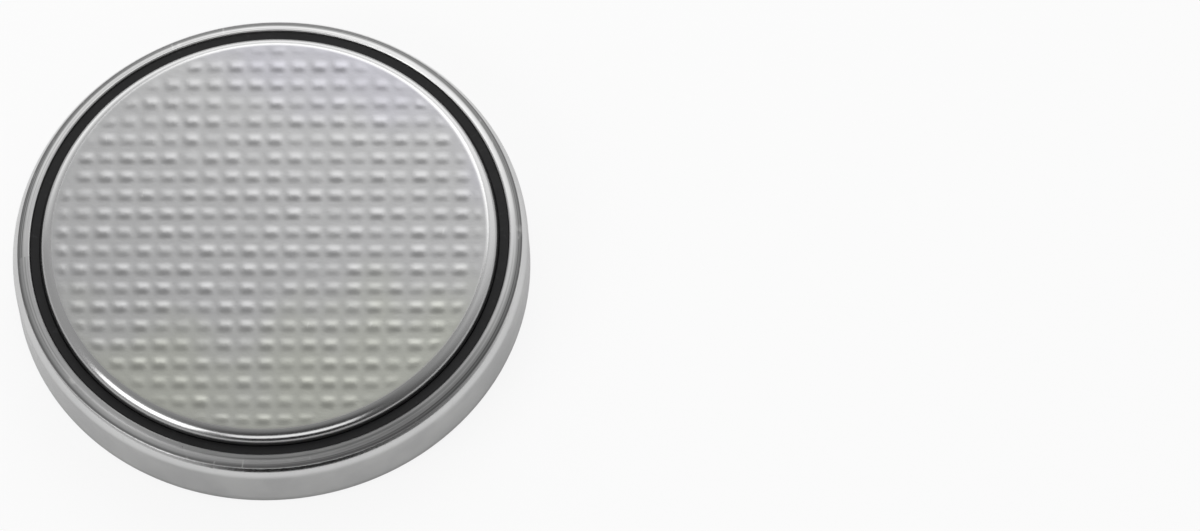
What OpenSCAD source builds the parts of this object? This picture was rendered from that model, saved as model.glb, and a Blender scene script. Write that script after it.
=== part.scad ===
// Lithium coin cell, lying on its flat positive face with the negative cap on top.
// Every piece is turned about the Z axis, and its section is drawn with X as the radius.

/* [Cell] */
// Outside diameter of the cell
cell_d = 20; // [14:0.5:30]
// Height from the flat base to the top of the cap
cell_h = 3.2; // [2.6:0.1:5.4]
// How far the cap stands above the top of the crimped edge
cap_proud = 0.4; // [0.2:0.05:0.6]

/* [Case] */
// Thickness of the case's sheet
case_t = 0.25; // [0.2:0.01:0.3]
// Outside radius of the case's lower corner
case_corner_r = 0.35; // [0.32:0.01:0.6]
// Outside radius of the roll at the crimped edge
crimp_r = 0.85; // [0.75:0.01:1]
// Distance from the wall's outside to the end of the crimped edge
crimp_reach = 0.7; // [0.5:0.01:0.75]

/* [Cap] */
// Thickness of the cap's sheet
cap_t = 0.25; // [0.2:0.01:0.3]
// Width of the black ring seen between the crimped edge and the cap
ring_w = 0.42; // [0.35:0.01:0.6]
// Outside radius of the cap's shoulder
shoulder_r = 0.48; // [0.32:0.01:0.5]
// Radius of the hollow where the cap's wall meets its flange
flange_fillet_r = 0.12; // [0.05:0.01:0.15]

/* [Gasket] */
// Thickness of the gasket between the case and the cap
gasket_t = 0.3; // [0.2:0.01:0.32]
// Thickness of the gasket's foot, under the edge of the cap
foot_t = 0.35; // [0.25:0.01:0.4]
// Thickness of the gasket's inner leg
leg_t = 0.25; // [0.2:0.01:0.3]
// Space between the top of the inner leg and the underside of the cap's flange
leg_gap = 0.7; // [0.4:0.01:0.75]
// How far the gasket's top lies below the top of the crimped edge
ring_drop = 0.1; // [0.05:0.01:0.2]
// Rounding of the gasket's visible upper edge
ring_round = 0.06; // [0.03:0.01:0.1]

/* [Inside] */
// Thickness of the lithium disc
lithium_t = 0.6; // [0.4:0.01:0.7]
// Space between the lithium disc and the cap's wall
lithium_gap = 0.6; // [0.3:0.01:1]
// Thickness of the separator
separator_t = 0.2; // [0.1:0.01:0.25]
// Space between the separator's rim and the cap's wall
separator_gap = 0.15; // [0.1:0.01:0.3]
// Depth of the separator's turned-down rim
separator_rim = 0.7; // [0.4:0.01:0.8]
// Space between the separator's rim and the collector
collector_gap = 0.2; // [0.1:0.01:0.3]
// Thickness of the collector's sheet
collector_t = 0.12; // [0.08:0.01:0.15]
// Height of the collector's upstand
collector_h = 0.8; // [0.4:0.01:0.95]
// Width of the collector's flange, under the cathode pellet
collector_flange = 1.4; // [0.8:0.05:2.5]
// Bevel on the cathode pellet's upper edge
pellet_bevel = 0.1; // [0.05:0.01:0.2]

/* [Fits] */
// Film of sealant between the gasket and the metal on either side
film = 0.02; // [0.015:0.001:0.03]
// Clearance round the cathode pellet in its collector
press_gap = 0.02; // [0.015:0.001:0.03]

/* [Quality] */
// Facets of the round pieces in the preview
facets = 180; // [60:10:360]

/* [Hidden] */
$fn = facets;
eps = 0.01;

// Case
case_r = cell_d/2;
crimp_cx = case_r - crimp_r;
crimp_cz = cell_h - cap_proud - crimp_r;
lip_r = case_r - crimp_reach;
lip_angle = asin((lip_r - crimp_cx)/crimp_r);
floor_z = case_t;

// Cap
cap_r = lip_r - ring_w;
flange_r = case_r - case_t - gasket_t;
flange_corner_r = crimp_r - case_t - gasket_t;
flange_z = crimp_cz + flange_corner_r;
skirt_z = floor_z + foot_t;

// Gasket
leg_r = flange_r - cap_t;
ring_z = crimp_cz + crimp_r*cos(lip_angle) - ring_drop;
leg_z = flange_z - cap_t - leg_gap;

// Inside, stacked from the cap down and from the case's floor up
lithium_r = cap_r - cap_t - lithium_gap;
lithium_z = cell_h - cap_t - lithium_t;
separator_r = cap_r - cap_t - separator_gap;
separator_z = lithium_z - separator_t;
collector_r = separator_r - separator_t - collector_gap;
pellet_r = collector_r - collector_t - press_gap;

// Radius of a bend of radius `r`, `inset` further in, which never falls to a sharp corner
function bend(r, inset) = max(r - inset, eps);

// Filled half-section of a drum, with its upper and lower edges rounded
module drum(r, z0, z1, top_r, bottom_r) {
    translate([0, z0 + bottom_r]) square([r, z1 - z0 - bottom_r - top_r]);
    translate([0, z0]) square([r - bottom_r, bottom_r + eps]);
    translate([0, z1 - top_r - eps]) square([r - top_r, top_r + eps]);
    if (bottom_r > 0) translate([r - bottom_r, z0 + bottom_r]) circle(bottom_r);
    if (top_r > 0) translate([r - top_r, z1 - top_r]) circle(top_r);
}

// Filled outline of the case, drawn in by `inset` from its outside
module case_outline(inset) {
    drum(case_r - inset, inset, crimp_cz + crimp_r - inset,
         bend(crimp_r, inset), bend(case_corner_r, inset));
}

// Everything on the cap's side of the crimped edge's end, above the roll's centre
module inside_lip(shift) {
    reach = 2*crimp_r;
    polygon([
        [-eps, crimp_cz],
        [crimp_cx - shift, crimp_cz],
        [crimp_cx - shift + reach*sin(lip_angle), crimp_cz + reach*cos(lip_angle)],
        [-eps, crimp_cz + reach*cos(lip_angle)]
    ]);
}

module case_profile() {
    difference() {
        case_outline(0);
        case_outline(case_t);
        inside_lip(0);
    }
}

// Filled outline of the cap, drawn in by `inset` from its outside
module cap_outline(inset, z0) {
    step_r = flange_fillet_r + inset;
    drum(flange_r - inset, z0, flange_z - inset, bend(flange_corner_r, inset), 0);
    drum(cap_r - inset, z0, cell_h - inset, bend(shoulder_r, inset), 0);
    difference() {
        translate([cap_r - inset - eps, flange_z - inset - eps]) square(step_r + eps);
        translate([cap_r + flange_fillet_r, flange_z + flange_fillet_r]) circle(step_r);
    }
}

module cap_profile() {
    difference() {
        cap_outline(0, skirt_z + film);
        cap_outline(cap_t, 0);
    }
}

module gasket_profile() {
    difference() {
        union() {
            // wrap round the cap's skirt and under the roll, against the case
            difference() {
                case_outline(case_t + film);
                square([leg_r - film - leg_t, cell_h]);
            }
            // collar squeezed up between the cap and the end of the crimped edge
            intersection() {
                inside_lip(film);
                ring_top();
            }
        }
        cap_outline(-film, skirt_z);
    }
    // inner leg, rising inside the cap's skirt
    translate([leg_r - film - leg_t, skirt_z - eps]) square([leg_t, leg_z - leg_t/2 - skirt_z + eps]);
    translate([leg_r - film - leg_t/2, leg_z - leg_t/2]) circle(leg_t/2);
}

// Bar that holds the visible top of the gasket, rounded at its two upper edges
module ring_top() {
    translate([cap_r, crimp_cz]) square([ring_w, ring_z - ring_round - crimp_cz]);
    translate([cap_r + ring_round, crimp_cz]) square([ring_w - 2*ring_round, ring_z - crimp_cz]);
    for (x = [cap_r + ring_round, lip_r - ring_round])
        translate([x, ring_z - ring_round]) circle(ring_round);
}

module positive_case() {
    color("silver") rotate_extrude() case_profile();
}

module gasket() {
    color("dimgray") rotate_extrude() gasket_profile();
}

module negative_cap() {
    color("lightgray") rotate_extrude() cap_profile();
}

module lithium_anode() {
    color("gainsboro") translate([0, 0, lithium_z]) cylinder(r = lithium_r, h = lithium_t);
}

// Shallow cup of non-woven film, turned down round the pellet
module separator() {
    color("white") difference() {
        translate([0, 0, lithium_z - separator_t - separator_rim])
            cylinder(r = separator_r, h = separator_t + separator_rim);
        translate([0, 0, separator_z - separator_rim - eps])
            cylinder(r = separator_r - separator_t, h = separator_rim + eps);
    }
}

// Pressed disc, stepped at its foot where the collector's flange and upstand lie
module cathode_pellet() {
    color("darkslategray") rotate_extrude() polygon([
        [0, floor_z],
        [collector_r - collector_flange - press_gap, floor_z],
        [collector_r - collector_flange - press_gap, floor_z + collector_t],
        [pellet_r, floor_z + collector_t],
        [pellet_r, separator_z - pellet_bevel],
        [pellet_r - pellet_bevel, separator_z],
        [0, separator_z]
    ]);
}

// Ring of thin sheet with an L section, pressed round the pellet's foot
module cathode_collector() {
    color("silver") rotate_extrude() polygon([
        [collector_r - collector_flange, floor_z],
        [collector_r, floor_z],
        [collector_r, floor_z + collector_h],
        [collector_r - collector_t, floor_z + collector_h],
        [collector_r - collector_t, floor_z + collector_t],
        [collector_r - collector_flange, floor_z + collector_t]
    ]);
}

positive_case();
gasket();
negative_cap();
lithium_anode();
separator();
cathode_pellet();
cathode_collector();
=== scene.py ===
"""Lithium coin cell: embossed cap, crimped case, their finishes and a plain studio."""

import math

import bmesh
import bpy
from mathutils import Matrix, Vector


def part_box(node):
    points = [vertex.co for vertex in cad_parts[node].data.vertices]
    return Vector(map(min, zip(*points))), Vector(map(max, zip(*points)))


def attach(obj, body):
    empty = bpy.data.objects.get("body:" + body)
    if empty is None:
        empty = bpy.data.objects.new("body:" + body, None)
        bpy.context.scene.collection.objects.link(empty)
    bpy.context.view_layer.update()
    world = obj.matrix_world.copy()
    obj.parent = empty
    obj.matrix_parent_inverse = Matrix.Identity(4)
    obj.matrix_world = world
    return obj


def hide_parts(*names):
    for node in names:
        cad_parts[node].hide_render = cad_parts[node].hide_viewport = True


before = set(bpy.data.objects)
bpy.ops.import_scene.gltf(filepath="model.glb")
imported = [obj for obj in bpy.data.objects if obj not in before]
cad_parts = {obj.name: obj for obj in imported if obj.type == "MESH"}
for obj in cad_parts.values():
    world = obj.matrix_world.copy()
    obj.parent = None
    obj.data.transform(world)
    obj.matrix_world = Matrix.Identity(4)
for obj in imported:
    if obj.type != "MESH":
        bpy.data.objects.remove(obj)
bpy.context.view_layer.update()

# Sizes
MM = 0.001                          # the frame is in metres

_, case_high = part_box("positive_case")
cap_low, cap_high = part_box("negative_cap")

CASE_R = case_high.x                # outside radius of the case
LIP_TOP = case_high.z               # highest point of the crimped edge
CELL_TOP = cap_high.z               # tops of the tallest studs on the cap
SHEET = 0.25 * MM                   # thickness of both steel sheets
CASE_CORNER = 0.35 * MM             # outside radius of the case's lower corner
CRIMP_R = 0.85 * MM                 # outside radius of the rolled edge
LIP_R = CASE_R - 0.7 * MM           # where the rolled edge ends
LIP_EDGE = 0.04 * MM                # rounding of the sheared edge

FLANGE_R = cap_high.x               # widest radius of the cap, under the roll
SKIRT_Z = cap_low.z                 # lower edge of the cap's skirt
CAP_R = LIP_R - 0.42 * MM           # wall of the cap that shows
SHOULDER_R = 0.48 * MM              # outside radius of the cap's shoulder
FLANGE_FILLET = 0.12 * MM           # hollow between the cap's wall and its flange
GASKET_T = 0.3 * MM                 # gasket between the case and the cap

TURNED_SEGMENTS = 360               # round the case
SHARP_ANGLE = math.radians(40)      # from which an edge between two faces is sharp

# Embossing of the cap: a square lattice of small rounded studs standing on its face
STUD_PITCH = 0.815 * MM
STUD_SHIFT = (-0.38, -0.38)         # of the lattice, along and across the rows, in pitches
STUD_HEIGHT = 0.028 * MM
STUD_SPREAD = 0.55                  # share of the full height that a stud may fall short
STUD_FOOT = (0.50, 0.38)            # from a stud's middle to its foot, along and across, in pitches
STUD_TOP = (0.10, 0.03)             # and to the edge of its top
STUD_SEED = 4.0
FACE_Z = CELL_TOP - STUD_HEIGHT     # the cap's face between the studs
EMBOSS_ANGLE = math.radians(-4.5)   # rows against the frame's X axis
EMBOSS_R = CAP_R - SHOULDER_R       # flat disc of the cap
EMBOSS_FADE = 0.45 * MM             # width of its rim, in which the studs die away
EMBOSS_GRID = 228                   # squares along each side of the disc's grid

# Plus sign stamped in the positive face
PLUS_REACH = 1.5 * MM               # from its middle to the end of an arm
PLUS_HALF_WIDTH = 0.24 * MM
PLUS_DEPTH = 0.05 * MM
PLUS_PLACE = 5.2 * MM               # from the cell's axis to the middle of the sign
PUNCH_OVER = 0.02 * MM              # how far the punch starts outside the face


# Node trees
def math_method(operation, reflected=False):
    """A method of Value that adds one Math node, its operands turned round where `reflected`."""

    def method(value, *others):
        operands = (*others, value) if reflected else (value, *others)
        return value.tree.add("ShaderNodeMath", {"operation": operation}, dict(enumerate(operands)))

    return method


class Value:
    """An output socket in a node tree. An expression on it adds Math nodes."""

    def __init__(self, tree, socket):
        self.tree, self.socket = tree, socket

    def out(self, name):
        return Value(self.tree, self.socket.node.outputs[name])

    __add__ = math_method("ADD")
    __radd__ = math_method("ADD", reflected=True)
    __sub__ = math_method("SUBTRACT")
    __rsub__ = math_method("SUBTRACT", reflected=True)
    __mul__ = math_method("MULTIPLY")
    __rmul__ = math_method("MULTIPLY", reflected=True)
    __truediv__ = math_method("DIVIDE")
    __rtruediv__ = math_method("DIVIDE", reflected=True)
    __gt__ = math_method("GREATER_THAN")
    __lt__ = math_method("LESS_THAN")
    __abs__ = math_method("ABSOLUTE")
    floor = math_method("FLOOR")
    sin = math_method("SINE")
    cos = math_method("COSINE")
    sqrt = math_method("SQRT")
    atan2 = math_method("ARCTAN2")
    max = math_method("MAXIMUM")

    def smooth(self, low, high):
        """A smooth step from 0 at `low` to 1 at `high`."""
        return self.tree.add(
            "ShaderNodeMapRange",
            {"interpolation_type": "SMOOTHSTEP", "clamp": True},
            {"Value": self, "From Min": low, "From Max": high, "To Min": 0.0, "To Max": 1.0},
        )

    def mix(self, low, high):
        """`low` where this is 0 and `high` where it is 1."""
        return self * (high - low) + low


class Tree:
    """A shader or geometry tree, with one method that adds any node."""

    def __init__(self, tree):
        self.nodes, self.links = tree.nodes, tree.links

    def add(self, kind, settings=None, sockets=None):
        node = self.nodes.new(kind)
        for name, value in (settings or {}).items():
            if name == "stops":
                self.set_stops(node.color_ramp, value)
            else:
                setattr(node, name, value)
        for name, value in (sockets or {}).items():
            target = node.inputs[name]
            if isinstance(value, Value):
                self.links.new(value.socket, target)
            else:
                target.default_value = value
        return Value(self, node.outputs[0]) if node.outputs else node

    @staticmethod
    def set_stops(ramp, stops):
        while len(ramp.elements) < len(stops):
            ramp.elements.new(1.0)
        for element, (place, tone) in zip(ramp.elements, stops):
            element.position, element.color = place, tone

    def xyz(self, vector):
        parts = self.add("ShaderNodeSeparateXYZ", None, {0: vector})
        return parts.out("X"), parts.out("Y"), parts.out("Z")

    def vector(self, x, y, z):
        return self.add("ShaderNodeCombineXYZ", None, {"X": x, "Y": y, "Z": z})


# Materials
LINE_DRIFT = 0.04 * MM              # how far the pattern of turned lines shifts in one radian
DRAW_R = 10 * MM                    # radius at which the pattern of the wall's draw lines is read
DRAW_STRETCH = 0.04                 # how much of the height counts in it, so that they run up the wall


def colour(r, g, b):
    return (r, g, b, 1.0)


def grey(tone):
    return colour(tone, tone, tone)


def own_place(t):
    return t.add("ShaderNodeTexCoord").out("Object")


def stretched(t, place, x, y, z):
    """The place with its axes scaled, so that a pattern on it is drawn out along the least of them."""
    return t.add("ShaderNodeVectorMath", {"operation": "MULTIPLY"}, {0: place, 1: (x, y, z)})


def noise(t, place, scale, detail=2.0, roughness=0.5):
    return t.add(
        "ShaderNodeTexNoise",
        {"noise_dimensions": "3D"},
        {"Vector": place, "Scale": scale, "Detail": detail, "Roughness": roughness},
    )


def blend_colour(t, factor, a, b):
    """Colour `a` where the factor is 0 and `b` where it is 1."""
    node = t.add("ShaderNodeMix", {"data_type": "RGBA"}, {0: factor, 6: a, 7: b})
    return Value(t, node.socket.node.outputs[2])


def bump(t, height, distance, strength):
    return t.add("ShaderNodeBump", None, {"Height": height, "Distance": distance, "Strength": strength})


def scratches(t, place, scale, width):
    """A few fine marks left by handling: thin edges of long cells, each fading along its length."""
    edge = t.add(
        "ShaderNodeTexVoronoi", {"feature": "DISTANCE_TO_EDGE", "voronoi_dimensions": "3D"},
        {"Vector": stretched(t, place, 1.0, 0.23, 1.0), "Scale": scale, "Randomness": 1.0},
    )
    some = noise(t, place, scale * 1.7).smooth(0.56, 0.66)
    return edge.smooth(width * 0.4, 0.0) * some


def new_material(name):
    material = bpy.data.materials.new(name)
    material.use_nodes = True
    material.node_tree.nodes.clear()
    return material, Tree(material.node_tree)


def finish_material(t, sockets):
    shader = t.add("ShaderNodeBsdfPrincipled", None, sockets)
    t.add("ShaderNodeOutputMaterial", None, {"Surface": shader})


def round_coordinates(t, place):
    """Distance from the axis, way round it in radians, and height."""
    x, y, z = t.xyz(place)
    return (x * x + y * y).sqrt(), y.atan2(x), z


def turned_lines(t, radius, around, height, scale):
    """Fine lines that run round the axis, as a die leaves them."""
    return noise(t, t.vector(radius, height, around * LINE_DRIFT), scale)


def between_depths(height, start, end):
    """A step from 0 to 1 between two depths under the crimped edge's top, in radii of the roll."""
    return height.smooth(LIP_TOP - start * CRIMP_R, LIP_TOP - end * CRIMP_R)


def case_steel():
    """Satin stainless sheet: draw lines up the wall, die lines round the roll, a duller flat face."""
    material, t = new_material("case_steel")
    place = own_place(t)
    radius, around, height = round_coordinates(t, place)
    wall_place = t.vector(around.cos() * DRAW_R, around.sin() * DRAW_R, height * DRAW_STRETCH)
    up_wall = noise(t, wall_place, 22000.0, roughness=0.6)
    round_roll = turned_lines(t, radius, around, height, 16000.0)
    cloud = noise(t, place, 420.0, detail=3.0, roughness=0.55)
    grain = noise(t, place, 15000.0, roughness=0.6)
    scuff = scratches(t, place, 900.0, width=0.10)
    die_marks = round_roll.smooth(0.48, 0.62)

    # bands of the case, from its base up
    face = height.smooth(0.12 * MM, 0.02 * MM)
    # painted shade: the case darker in a band at its lower corner, by the floor
    corner = height.smooth(0.60 * MM, 0.10 * MM) - face
    # painted highlight: a lighter band at the top of the wall, fading out in the roll
    wall_top_highlight = between_depths(height, 0.90, 0.60)
    roll = between_depths(height, 0.33, 0.28)
    # painted shade: a dark line at the roll's foot, where it meets the wall
    foot_shade = between_depths(height, 0.14, 0.27)
    crest = between_depths(height, 0.14, 0.05)

    tone = blend_colour(t, cloud.smooth(0.35, 0.65), grey(0.56), colour(0.63, 0.63, 0.625))
    # painted highlight at the top of the wall
    tone = blend_colour(t, wall_top_highlight * (1.0 - roll * 0.7) * 0.65, tone, grey(0.82))
    # painted shade: the roll darker than the wall, less at its crest and most at its foot, with real die
    # marks in it
    roll_shade_and_die_marks = roll * (crest.mix(0.62, 0.15) + foot_shade * 0.34 + die_marks * 0.35)
    tone = blend_colour(t, roll_shade_and_die_marks, tone, grey(0.17))
    # painted shade at the case's lower corner
    tone = blend_colour(t, corner * 0.7, tone, grey(0.22))
    tone = blend_colour(t, scuff * 0.35, tone, colour(0.62, 0.62, 0.61))

    wall_lines = roll.mix(up_wall * 1.8, round_roll)
    lines = face.mix(wall_lines, grain)
    metal_rough = roll.mix(0.06, crest.mix(0.56, 0.26)) + wall_lines * 0.08
    rough = face.mix(metal_rough, 0.33) + cloud * 0.05 - scuff * 0.05
    finish_material(t, {
        "Base Color": tone,
        "Metallic": 1.0,
        "Roughness": rough,
        "Normal": bump(t, lines + grain * 0.3 - scuff * 0.8, distance=0.0022 * MM, strength=0.7),
    })
    return material


def cap_steel():
    """Matt embossed sheet, its studs a little polished, with a bright drawn shoulder."""
    material, t = new_material("cap_steel")
    place = own_place(t)
    radius, around, height = round_coordinates(t, place)
    x, y, _ = t.xyz(place)
    grain = noise(t, place, 16000.0, roughness=0.6)
    blasted = noise(t, place, 4200.0, roughness=0.55)
    cloud = noise(t, place, 210.0, detail=3.0)
    mottle = noise(t, place, 1300.0)
    die_lines = turned_lines(t, radius, around, height, 18000.0)
    shoulder = radius.smooth(EMBOSS_R - 0.05 * MM, EMBOSS_R + 0.08 * MM)
    stud = height.smooth(FACE_Z, CELL_TOP)
    scuff = scratches(t, place, 700.0, width=0.05) * stud

    # painted reflection: a warmer tint towards the near side and a cooler one at the far right
    warm_reflection = (cloud - 0.5) * 1.6 - y / CAP_R
    cool_reflection = (y * 0.8 + x * 0.5) / CAP_R + (cloud - 0.5) * 0.8
    tone = blend_colour(t, warm_reflection.smooth(0.1, 0.9), colour(0.405, 0.405, 0.408), colour(0.392, 0.398, 0.360))
    tone = blend_colour(t, cool_reflection.smooth(0.55, 0.95), tone, colour(0.420, 0.416, 0.452))
    tone = blend_colour(t, stud.mix(0.12, 0.0) + (mottle - 0.5) * 0.2, tone, grey(0.25))
    tone = blend_colour(t, shoulder, tone, grey(0.50))
    tone = blend_colour(t, scuff * 0.3, tone, colour(0.60, 0.60, 0.59))

    face_rough = 0.36 - stud * 0.06 + (mottle - 0.5) * 0.12
    relief = shoulder.mix(grain + blasted * 1.6, die_lines * 0.5)
    finish_material(t, {
        "Base Color": tone,
        "Metallic": 1.0,
        "Roughness": shoulder.mix(face_rough, 0.15 + die_lines * 0.05) + grain * 0.04,
        "Normal": bump(t, relief, distance=0.003 * MM, strength=0.6),
    })
    return material


def gasket_black():
    """Black moulded polypropylene, slightly waxy, with a faint moulded grain and pale rubbed specks."""
    material, t = new_material("gasket_black")
    place = own_place(t)
    grain = noise(t, place, 7000.0)
    cloud = noise(t, place, 900.0)
    rubbed = noise(t, place, 2600.0, detail=3.0, roughness=0.6).smooth(0.60, 0.75)
    finish_material(t, {
        "Base Color": blend_colour(t, rubbed, colour(0.004, 0.004, 0.0045), colour(0.016, 0.016, 0.017)),
        "Roughness": 0.38 + grain * 0.12 + cloud * 0.18,
        "Specular IOR Level": 0.3,
        "Normal": bump(t, grain, distance=0.006 * MM, strength=0.5),
    })
    return material


def lithium_foil():
    """Soft dull metal with a smeared, faintly tarnished face."""
    material, t = new_material("lithium")
    smear = noise(t, stretched(t, own_place(t), 1.0, 6.0, 1.0), 300.0, detail=4.0, roughness=0.6)
    finish_material(t, {
        "Base Color": blend_colour(t, smear, colour(0.62, 0.62, 0.60), colour(0.80, 0.80, 0.79)),
        "Metallic": 1.0,
        "Roughness": 0.45 + smear * 0.2,
        "Normal": bump(t, smear, distance=0.01 * MM, strength=0.5),
    })
    return material


def separator_felt():
    """White non-woven film: crossing fibres under a soft nap."""
    material, t = new_material("separator_felt")
    place = own_place(t)
    one = noise(t, stretched(t, place, 1.0, 9.0, 3.0), 1500.0, detail=3.0, roughness=0.6)
    two = noise(t, stretched(t, place, 9.0, 1.0, 3.0), 1500.0, detail=3.0, roughness=0.6)
    fibres = one.max(two)
    finish_material(t, {
        "Base Color": blend_colour(t, fibres, colour(0.72, 0.72, 0.69), colour(0.93, 0.93, 0.90)),
        "Roughness": 0.75 + fibres * 0.2,
        "Normal": bump(t, fibres, distance=0.02 * MM, strength=0.7),
    })
    return material


def cathode_mix():
    """Pressed black powder with a faint graphite sparkle."""
    material, t = new_material("cathode_mix")
    place = own_place(t)
    powder = noise(t, place, 5000.0, detail=4.0, roughness=0.7)
    flakes = noise(t, place, 9000.0, detail=1.0).smooth(0.62, 0.70)
    finish_material(t, {
        "Base Color": blend_colour(t, powder, colour(0.02, 0.02, 0.021), grey(0.07)),
        "Metallic": flakes * 0.5,
        "Roughness": 0.85 - flakes * 0.4,
        "Normal": bump(t, powder, distance=0.02 * MM, strength=0.7),
    })
    return material


def collector_steel():
    """Thin bright sheet with rolling lines."""
    material, t = new_material("collector_steel")
    lines = noise(t, stretched(t, own_place(t), 0.05, 1.0, 1.0), 4000.0, roughness=0.6)
    finish_material(t, {
        "Base Color": blend_colour(t, lines, grey(0.62), grey(0.72)),
        "Metallic": 1.0,
        "Roughness": 0.22 + lines * 0.15,
        "Normal": bump(t, lines, distance=0.004 * MM, strength=0.5),
    })
    return material


MATERIALS = {
    "positive_case": case_steel(),
    "negative_cap": cap_steel(),
    "gasket": gasket_black(),
    "lithium_anode": lithium_foil(),
    "separator": separator_felt(),
    "cathode_pellet": cathode_mix(),
    "cathode_collector": collector_steel(),
}
for node_name, node_material in MATERIALS.items():
    node_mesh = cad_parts[node_name].data
    node_mesh.materials.clear()
    node_mesh.materials.append(node_material)


# Sections, as points of a radius and a height
def on_circle(centre, radius, angle):
    """The point of a circle at an angle in degrees from the radius direction."""
    turned = math.radians(angle)
    return (centre[0] + radius * math.cos(turned), centre[1] + radius * math.sin(turned))


def arc(centre, radius, start, end, steps):
    """Points along a circle between two such angles."""
    return [on_circle(centre, radius, start + (end - start) * i / steps) for i in range(steps + 1)]


def case_section():
    """From the axis under the base, up the wall, over the roll, and back down the inside."""
    inner = CRIMP_R - SHEET
    roll_x = CASE_R - CRIMP_R
    lip_turn = math.degrees(math.acos((LIP_R - roll_x) / CRIMP_R))
    roll_centre = (roll_x, LIP_TOP - CRIMP_R * math.sin(math.radians(lip_turn)))
    edge_out = math.degrees(LIP_EDGE / CRIMP_R)
    edge_in = math.degrees(LIP_EDGE / inner)
    across_lip = (CRIMP_R - LIP_EDGE, (CRIMP_R + inner) / 2, inner + LIP_EDGE)
    corner_centre = (CASE_R - CASE_CORNER, CASE_CORNER)
    wall_height = roll_centre[1] - CASE_CORNER
    return (
        [(0, 0), (corner_centre[0] * 0.5, 0), (corner_centre[0] - 0.1 * MM, 0)]
        + arc(corner_centre, CASE_CORNER, -90, 0, steps=10)
        + [(CASE_R, CASE_CORNER + wall_height * share) for share in (0.05, 0.25, 0.5, 0.75, 0.95)]
        + arc(roll_centre, CRIMP_R, 0, lip_turn - edge_out, steps=22)
        + [on_circle(roll_centre, radius, lip_turn) for radius in across_lip]
        + arc(roll_centre, inner, lip_turn - edge_in, 0, steps=8)
        + [(CASE_R - SHEET, CASE_CORNER)]
        + arc(corner_centre, CASE_CORNER - SHEET, 0, -90, steps=3)
        + [(0, SHEET)]
    )


def cap_section():
    """From the edge of the embossed disc, over the shoulder, out along the flange, and back inside."""
    corner = CRIMP_R - SHEET - GASKET_T
    flange_z = LIP_TOP - SHEET - GASKET_T
    shoulder_centre = (CAP_R - SHOULDER_R, FACE_Z - SHOULDER_R)
    fillet_centre = (CAP_R + FLANGE_FILLET, flange_z + FLANGE_FILLET)
    corner_centre = (FLANGE_R - corner, flange_z - corner)
    return (
        arc(shoulder_centre, SHOULDER_R, 90, 0, steps=16)
        + arc(fillet_centre, FLANGE_FILLET, 180, 270, steps=5)
        + arc(corner_centre, corner, 90, 0, steps=8)
        + [(FLANGE_R, SKIRT_Z), (FLANGE_R - SHEET, SKIRT_Z)]
        + arc(corner_centre, corner - SHEET, 0, 90, steps=3)
        + arc(fillet_centre, FLANGE_FILLET + SHEET, 270, 180, steps=5)
        + arc(shoulder_centre, SHOULDER_R - SHEET, 0, 90, steps=4)
        + [(0, FACE_Z - SHEET)]
    )


# Geometry trees
MERGE_DISTANCE = 1e-7               # within which two points of a seam become one


def new_geometry_tree(name, inputs):
    """An empty tree with the named inputs, given as a dict of their socket kinds."""
    group = bpy.data.node_groups.new(name, "GeometryNodeTree")
    group.interface.new_socket("Geometry", in_out="INPUT", socket_type="NodeSocketGeometry")
    for label, kind in inputs.items():
        group.interface.new_socket(label, in_out="INPUT", socket_type="NodeSocket" + kind)
    group.interface.new_socket("Geometry", in_out="OUTPUT", socket_type="NodeSocketGeometry")
    t = Tree(group)
    return group, t, t.add("NodeGroupInput")


def end_tree(t, geometry, material):
    """Closes the seams, makes every instance real and gives the piece its finish."""
    merged = t.add("GeometryNodeMergeByDistance", None, {"Geometry": geometry, "Distance": MERGE_DISTANCE})
    real = t.add("GeometryNodeRealizeInstances", None, {"Geometry": merged})
    painted = t.add("GeometryNodeSetMaterial", None, {"Geometry": real, "Material": material})
    t.add("NodeGroupOutput", None, {"Geometry": painted})


def turn(t, section, points, segments):
    """The section's points, taken in order, turned once round the Z axis."""
    grid = t.add("GeometryNodeMeshGrid", None, {
        "Size X": 1.0, "Size Y": 1.0, "Vertices X": segments + 1.0, "Vertices Y": points})
    index = t.add("GeometryNodeInputIndex")
    segment = (index / points).floor()
    angle = segment / segments * math.tau
    place = t.add("GeometryNodeSampleIndex", {"data_type": "FLOAT_VECTOR", "domain": "POINT"}, {
        "Geometry": section, "Value": t.add("GeometryNodeInputPosition"), "Index": index - segment * points})
    radius, _, height = t.xyz(place)
    return t.add("GeometryNodeSetPosition", None, {
        "Geometry": grid, "Position": t.vector(radius * angle.cos(), radius * angle.sin(), height)})


def turned_tree():
    group, t, given = new_geometry_tree("turned_sheet", {
        "Section points": "Int", "Segments": "Int", "Material": "Material"})
    turned = turn(t, given.out("Geometry"), given.out("Section points"), given.out("Segments"))
    end_tree(t, turned, given.out("Material"))
    return group


def disc_position(t, radius, top):
    """Draws a square grid out to a disc, so that the disc's edge has the turned rim's own points."""
    x, y, _ = t.xyz(t.add("GeometryNodeInputPosition"))
    wide = abs(x) > abs(y)
    reach = wide.mix(y, x)
    eighth = math.pi / 4
    angle = wide.mix(math.pi / 2 - x / y * eighth, y / x * eighth)
    return t.vector(reach * angle.cos() * radius, reach * angle.sin() * radius, top)


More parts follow.
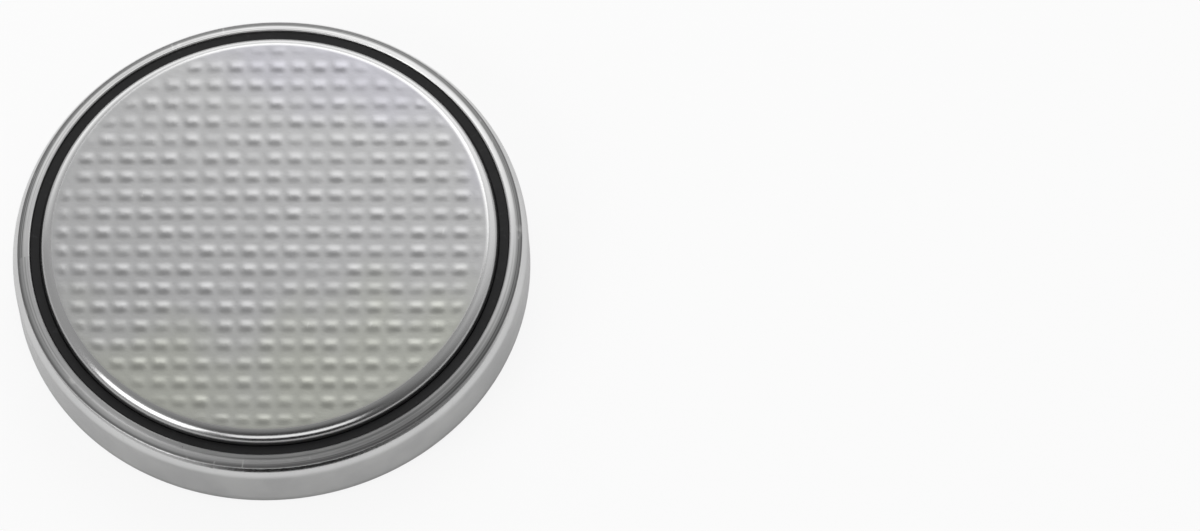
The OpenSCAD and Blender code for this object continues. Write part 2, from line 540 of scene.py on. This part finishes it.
def stud_lattice(t, given):
    """Height of the studs, each a little taller or lower than the next."""
    x, y, _ = t.xyz(t.add("GeometryNodeInputPosition"))
    cos, sin = given.out("Angle").cos(), given.out("Angle").sin()
    pitch = given.out("Pitch")
    shift_along, shift_across, _ = t.xyz(given.out("Shift"))
    foot_along, foot_across, _ = t.xyz(given.out("Foot"))
    top_along, top_across, _ = t.xyz(given.out("Top of stud"))
    along = (x * cos + y * sin) / pitch - shift_along
    across = (y * cos - x * sin) / pitch - shift_across
    seed = t.vector(along.floor(), across.floor(), given.out("Seed"))
    chance = t.add("ShaderNodeTexWhiteNoise", {"noise_dimensions": "3D"}, {"Vector": seed})
    lengthwise = abs(along - along.floor() - 0.5).smooth(foot_along, top_along)
    crosswise = abs(across - across.floor() - 0.5).smooth(foot_across, top_across)
    stud = lengthwise * crosswise * (1.0 - given.out("Spread") * chance)
    disc_r = given.out("Disc radius")
    inside = (x * x + y * y).sqrt().smooth(disc_r, disc_r - given.out("Fade"))
    return given.out("Height") * inside * stud


def embossed_tree():
    """The turned rim of the cap, closed by a disc with a square lattice of studs pressed in it."""
    group, t, given = new_geometry_tree("embossed_cap", {
        "Section points": "Int", "Grid": "Int", "Disc radius": "Float", "Top": "Float",
        "Pitch": "Float", "Shift": "Vector", "Angle": "Float", "Height": "Float", "Spread": "Float",
        "Foot": "Vector", "Top of stud": "Vector", "Fade": "Float", "Seed": "Float",
        "Material": "Material"})
    count = given.out("Grid")
    rim = turn(t, given.out("Geometry"), given.out("Section points"), count * 4.0)
    square = t.add("GeometryNodeMeshGrid", None, {
        "Size X": 2.0, "Size Y": 2.0, "Vertices X": count + 1.0, "Vertices Y": count + 1.0})
    disc = t.add("GeometryNodeSetPosition", None, {
        "Geometry": square, "Position": disc_position(t, given.out("Disc radius"), given.out("Top"))})
    embossed = t.add("GeometryNodeSetPosition", None, {
        "Geometry": disc, "Offset": t.vector(0.0, 0.0, stud_lattice(t, given))})
    join = t.add("GeometryNodeJoinGeometry")
    for part in (rim, embossed):
        t.links.new(part.socket, join.socket.node.inputs[0])
    end_tree(t, join, given.out("Material"))
    return group


# Pieces
def keep_result(piece, material):
    """Turns what the modifiers make into the piece's own plain mesh, with one finish all over."""
    evaluated = piece.evaluated_get(bpy.context.evaluated_depsgraph_get())
    mesh = bpy.data.meshes.new_from_object(evaluated)
    mesh.materials.clear()
    mesh.materials.append(material)
    mesh.polygons.foreach_set("material_index", [0] * len(mesh.polygons))
    piece.modifiers.clear()
    piece.data = mesh


def face_outwards(mesh):
    work = bmesh.new()
    work.from_mesh(mesh)
    bmesh.ops.recalc_face_normals(work, faces=work.faces)
    work.to_mesh(mesh)
    work.free()


def make_piece(name, section, group, values, node, finish=None):
    """Runs a tree on a section's points, keeps the plain mesh, and lets it stand for the CAD node."""
    start = bpy.data.meshes.new(name + "_section")
    edges = [(i, i + 1) for i in range(len(section) - 1)]
    start.from_pydata([(r, 0.0, z) for r, z in section], edges, [])
    piece = bpy.data.objects.new(name, start)
    bpy.context.scene.collection.objects.link(piece)
    modifier = piece.modifiers.new("shape", "NODES")
    modifier.node_group = group
    sockets = {s.name: s.identifier for s in group.interface.items_tree if s.in_out == "INPUT"}
    for label, value in {"Section points": len(section), **values}.items():
        modifier[sockets[label]] = value
    keep_result(piece, values["Material"])
    face_outwards(piece.data)
    if finish:
        finish(piece)
    piece.data.shade_smooth()
    piece.data.set_sharp_from_angle(angle=SHARP_ANGLE)
    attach(piece, "root")
    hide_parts(node)


def plus_outline(inset):
    """The twelve corners of a plus sign, drawn in by `inset`."""
    reach, half = PLUS_REACH - inset, PLUS_HALF_WIDTH - inset
    quarter = [(half, half), (half, reach), (-half, reach)]
    corners = []
    for _ in range(4):
        corners += quarter
        quarter = [(-y, x) for x, y in quarter]
    return corners


def stamp_plus(case):
    """Presses a plus sign with sloping sides into the positive face."""
    rings = [(PUNCH_OVER, plus_outline(-PUNCH_OVER)), (-PLUS_DEPTH, plus_outline(PLUS_DEPTH))]
    points = [(x, y + PLUS_PLACE, -height) for height, outline in rings for x, y in outline]
    count = len(points) // 2
    sides = [(i, (i + 1) % count, count + (i + 1) % count, count + i) for i in range(count)]
    ends = [tuple(range(count)), tuple(range(count, 2 * count))]
    punch_mesh = bpy.data.meshes.new("punch")
    punch_mesh.from_pydata(points, [], sides + ends)
    face_outwards(punch_mesh)
    punch = bpy.data.objects.new("punch", punch_mesh)
    bpy.context.scene.collection.objects.link(punch)
    cut = case.modifiers.new("stamp", "BOOLEAN")
    cut.operation, cut.solver, cut.object = "DIFFERENCE", "EXACT", punch
    keep_result(case, case.data.materials[0])
    bpy.data.objects.remove(punch)


make_piece("case_sheet", case_section(), turned_tree(), {
    "Segments": TURNED_SEGMENTS,
    "Material": MATERIALS["positive_case"],
}, "positive_case", finish=stamp_plus)

make_piece("cap_sheet", cap_section(), embossed_tree(), {
    "Grid": EMBOSS_GRID,
    "Disc radius": EMBOSS_R,
    "Top": FACE_Z,
    "Pitch": STUD_PITCH,
    "Shift": (*STUD_SHIFT, 0.0),
    "Angle": EMBOSS_ANGLE,
    "Height": STUD_HEIGHT,
    "Spread": STUD_SPREAD,
    "Foot": (*STUD_FOOT, 0.0),
    "Top of stud": (*STUD_TOP, 0.0),
    "Fade": EMBOSS_FADE,
    "Seed": STUD_SEED,
    "Material": MATERIALS["negative_cap"],
}, "negative_cap")


# Studio
CAMERA = {
    "lens": 250.0,                              # in mm, as is the sensor
    "target": (12.68 * MM, -0.65 * MM, 0),      # right of the cell, which lies left in the picture
    "elevation": 61.95,                         # in degrees above the floor
    "roll": -3.93,                              # in degrees
    "distance": 324.1 * MM,
}
SENSOR = 36.0                       # width of the camera's sensor
CLIP = (0.01, 10.0)                 # nearest and farthest that the camera sees

FLOOR_SEEN = 0.88                   # share of plain white in the floor as the camera sees it
FLOOR_MIRRORED = 0.10               # and as metal mirrors it
FLOOR_COLOUR = 0.86                 # where light and shadow fall on it
FLOOR_Z = -0.01 * MM                # a hair under the base, so that the two faces don't coincide
FLOOR_R = 1.0
FLOOR_OPENING = CASE_R - 1.2 * CASE_CORNER      # hidden under the base
FLOOR_SEGMENTS = 96

# Brightness of the studio round the cell, from the far horizon over the top to the near one
ARCH = [
    (0.0, 1.80), (0.12, 1.55), (0.20, 0.95), (0.40, 0.46),
    (0.50, 0.32), (0.64, 0.06), (0.80, 0.05), (0.90, 0.01),
]
# and at the two sides, from the near end to the far one
LEFT = [(0.0, 0.40), (0.2, 0.46), (0.75, 0.55), (0.92, 1.80)]
RIGHT = [(0.0, 0.06), (0.25, 0.20), (0.50, 0.55), (0.70, 1.15), (1.0, 1.80)]
SIDE_START, SIDE_FULL = 0.20, 0.65  # how far out the arch gives way to the sides
UNDER_FLOOR = 0.6                   # plain light for views from below

# Soft lamps: place, width and height in metres, and brightness, where 1 is a white wall in full light
LAMPS = {
    "key": ((-0.38, -0.26, 0.30), 0.38, 0.28, 2.4),
    "front": ((0.02, -0.39, 0.30), 0.40, 0.18, 1.6),
    "back": ((0.012, 0.056, 0.066), 0.06, 0.04, 1.5),
}


def make_camera(lens, target, elevation, roll, distance):
    data = bpy.data.cameras.new("camera")
    data.lens, data.sensor_width = lens, SENSOR
    data.clip_start, data.clip_end = CLIP
    camera = bpy.data.objects.new("camera", data)
    bpy.context.scene.collection.objects.link(camera)
    up_angle, turn_angle = math.radians(elevation), math.radians(roll)
    back = Vector((0, -math.cos(up_angle), math.sin(up_angle)))
    right = Vector((1, 0, 0))
    up = back.cross(right)
    tilted_right = right * math.cos(turn_angle) + up * math.sin(turn_angle)
    tilted_up = up * math.cos(turn_angle) - right * math.sin(turn_angle)
    turned = Matrix((tilted_right, tilted_up, back)).transposed().to_4x4()
    camera.matrix_world = Matrix.Translation(Vector(target) + back * distance) @ turned
    bpy.context.scene.camera = camera


def floor_white():
    """Pale and matt, white to the camera, dimmer in the metal, and clear from underneath."""
    material, t = new_material("floor_white")
    path = t.add("ShaderNodeLightPath")
    mirrored = path.out("Is Glossy Ray").max(path.out("Is Transmission Ray"))
    seen = path.out("Is Camera Ray") * FLOOR_SEEN + mirrored * FLOOR_MIRRORED
    lit = t.add("ShaderNodeBsdfDiffuse", None, {"Color": grey(FLOOR_COLOUR)})
    glow = t.add("ShaderNodeEmission", None, {"Color": grey(1.0), "Strength": 1.0})
    top = t.add("ShaderNodeMixShader", None, {0: seen, 1: lit, 2: glow})
    underneath = t.add("ShaderNodeNewGeometry").out("Backfacing")
    clear = t.add("ShaderNodeBsdfTransparent")
    surface = t.add("ShaderNodeMixShader", None, {0: underneath, 1: top, 2: clear})
    t.add("ShaderNodeOutputMaterial", None, {"Surface": surface})
    return material


def make_floor():
    """Pale floor with one face, open under the cell, so that the base is lit and seen from below."""
    mesh = bpy.data.meshes.new("floor")
    count = FLOOR_SEGMENTS
    ring = [(math.cos(math.tau * i / count), math.sin(math.tau * i / count)) for i in range(count)]
    points = [(r * x, r * y, FLOOR_Z) for r in (FLOOR_OPENING, FLOOR_R) for x, y in ring]
    faces = [(i, count + i, count + (i + 1) % count, (i + 1) % count) for i in range(count)]
    mesh.from_pydata(points, [], faces)
    mesh.materials.append(floor_white())
    floor = bpy.data.objects.new("floor", mesh)
    bpy.context.scene.collection.objects.link(floor)


def make_world():
    world = bpy.data.worlds.new("studio")
    bpy.context.scene.world = world
    world.use_nodes = True
    world.node_tree.nodes.clear()
    t = Tree(world.node_tree)
    x, y, z = t.xyz(t.add("ShaderNodeTexCoord").out("Generated"))

    def ramp(stops, place):
        tones = [(at, grey(tone)) for at, tone in stops]
        return t.add("ShaderNodeValToRGB", {"stops": tones}, {"Fac": place})

    arch = ramp(ARCH, z.max(0.0).atan2(y) / math.pi)
    along = y * 0.5 + 0.5
    side = blend_colour(t, x > 0.0, ramp(LEFT, along), ramp(RIGHT, along))
    tone = blend_colour(t, abs(x).smooth(SIDE_START, SIDE_FULL), arch, side)
    tone = blend_colour(t, z.smooth(0.0, -0.1), tone, grey(UNDER_FLOOR))
    shade = t.add("ShaderNodeBackground", None, {"Color": tone, "Strength": 1.0})
    t.add("ShaderNodeOutputWorld", None, {"Surface": shade})


def make_lamp(name, place, width, height, brightness):
    """A soft rectangular lamp, aimed at the cell."""
    data = bpy.data.lights.new(name, "AREA")
    data.shape, data.size, data.size_y = "RECTANGLE", width, height
    data.energy = brightness * math.pi * width * height
    lamp = bpy.data.objects.new(name, data)
    bpy.context.scene.collection.objects.link(lamp)
    lamp.location = place
    lamp.rotation_euler = (-Vector(place)).to_track_quat("-Z", "Y").to_euler()
    lamp.visible_camera = False


make_camera(**CAMERA)
make_floor()
make_world()
for lamp_name, lamp_values in LAMPS.items():
    make_lamp(lamp_name, *lamp_values)

bpy.context.scene.view_settings.view_transform = "Standard"
